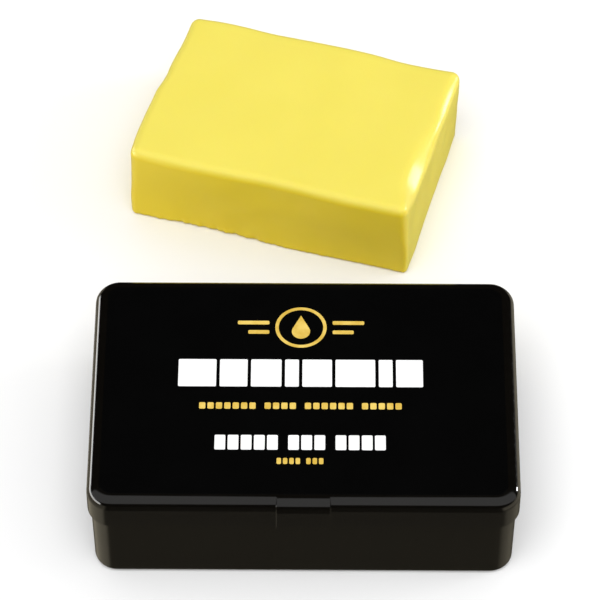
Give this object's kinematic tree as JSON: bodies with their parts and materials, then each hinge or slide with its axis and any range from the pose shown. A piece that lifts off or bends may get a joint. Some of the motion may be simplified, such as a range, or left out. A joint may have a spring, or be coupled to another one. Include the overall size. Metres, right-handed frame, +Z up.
{
  "type": "clay bar with storage case",
  "caption": "Block of yellow detailing clay lying behind its hinged black plastic storage case, closed, with a snap tab and a printed lid label.",
  "frame": {"origin": "centre of the case's underside, where it stands on a surface", "axes": "+X along the lid's hinge, +Y from the catch to the hinge, +Z up"},
  "size_m": [0.092, 0.1458, 0.0262],
  "materials": {
    "clay": "satin",
    "case_plastic": "gloss",
    "pin_steel": "satin",
    "label_film": "gloss",
    "gold_print": "satin",
    "white_print": "satin"
  },
  "bodies": {
    "case_base": {"case_base": "case_plastic", "hinge_pin_left": "pin_steel", "hinge_pin_right": "pin_steel"},
    "case_lid": {"case_lid": "case_plastic", "lid_label": "label_film", "print_emblem": "gold_print", "print_headline": "white_print", "print_strapline": "gold_print", "print_product_line": "white_print", "print_grade_line": "gold_print"},
    "clay_bar": {"clay_bar": "clay"}
  },
  "joints": [
    {"name": "lid_hinge", "type": "hinge", "parent": "case_base", "child": "case_lid", "pos_m": [0, 0.0328, 0.0186], "axis": [-1, 0, 0], "range_deg": [0, 100]},
    {"name": "bar_lift", "type": "slide", "parent": "case_base", "child": "clay_bar", "axis": [0, 0, 1], "range_m": [0, 0.03]}
  ]
}
